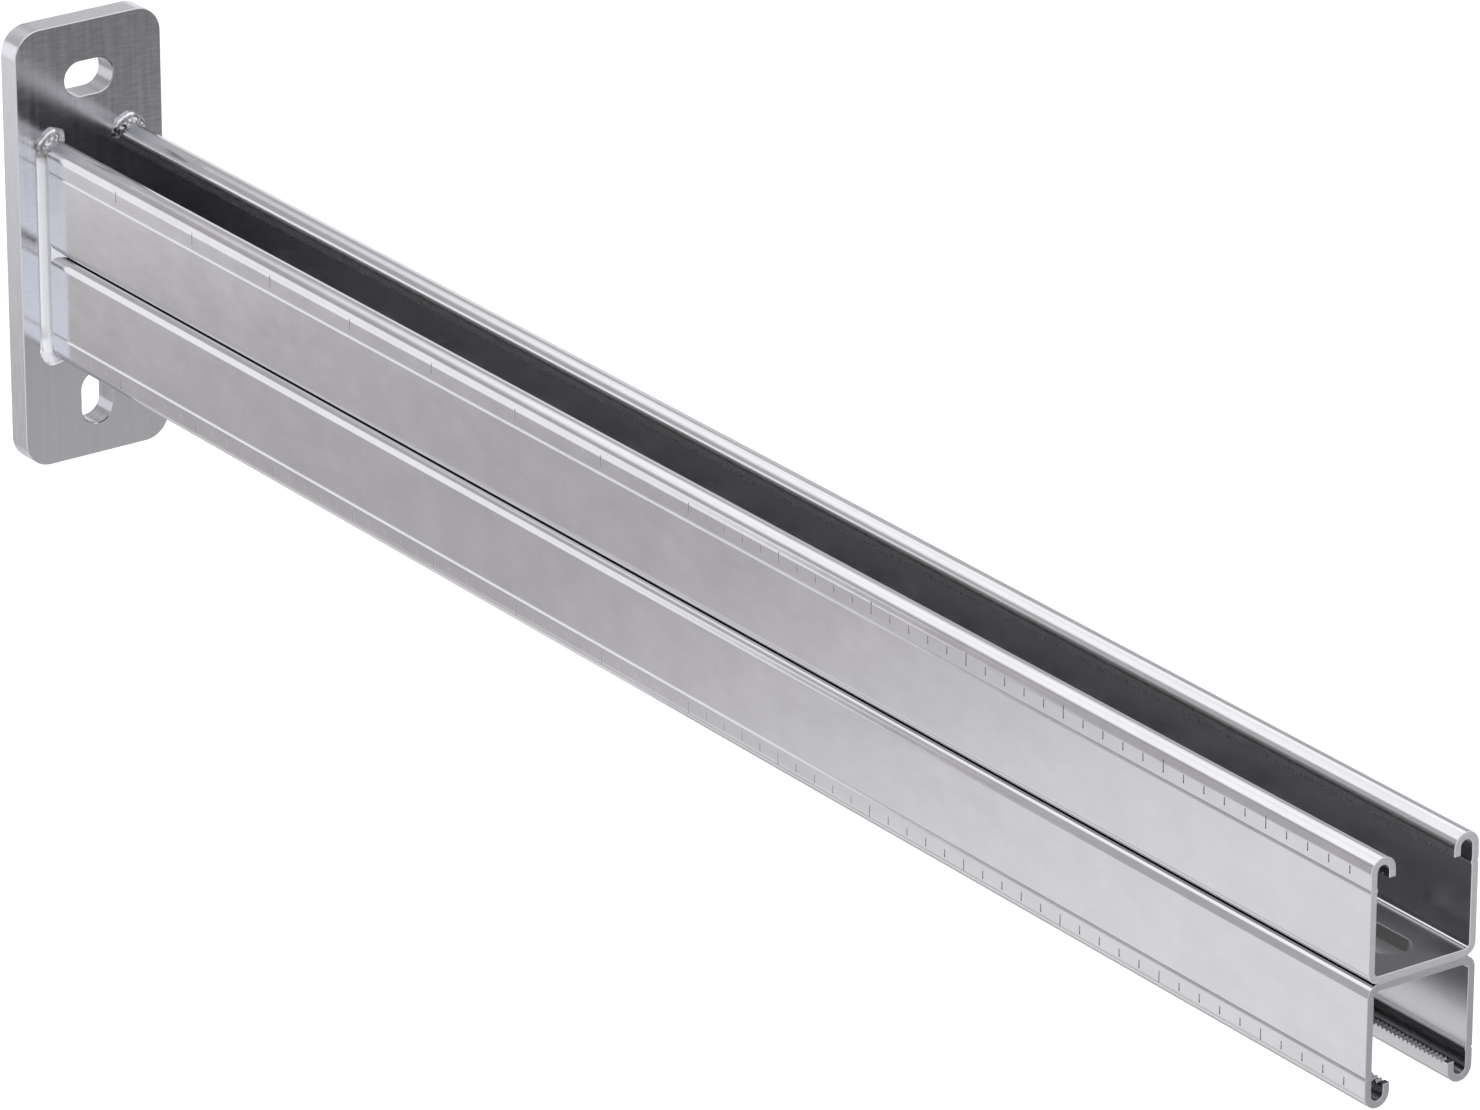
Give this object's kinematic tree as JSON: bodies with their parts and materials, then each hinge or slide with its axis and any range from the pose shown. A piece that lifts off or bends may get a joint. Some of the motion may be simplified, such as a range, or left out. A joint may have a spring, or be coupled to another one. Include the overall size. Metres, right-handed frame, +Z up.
{
  "type": "cantilever strut arm",
  "caption": "Wall-mounted cantilever arm: two lipped C channels welded back to back on a slotted base plate.",
  "frame": {"origin": "centre of the base plate's back face, the face that lies on the wall", "axes": "+X along the arm away from the wall, +Y across the arm, +Z up"},
  "size_m": [0.76, 0.06, 0.165],
  "materials": {
    "galvanized_plate": "satin zinc coat on flat bar",
    "galvanized_channel": "satin zinc coat on rolled sheet",
    "galvanized_weld": "glossy zinc coat on weld metal"
  },
  "bodies": {
    "root": {"base_plate": "galvanized_plate", "upper_channel": "galvanized_channel", "lower_channel": "galvanized_channel", "weld_near_side": "galvanized_weld", "weld_far_side": "galvanized_weld"}
  },
  "joints": []
}
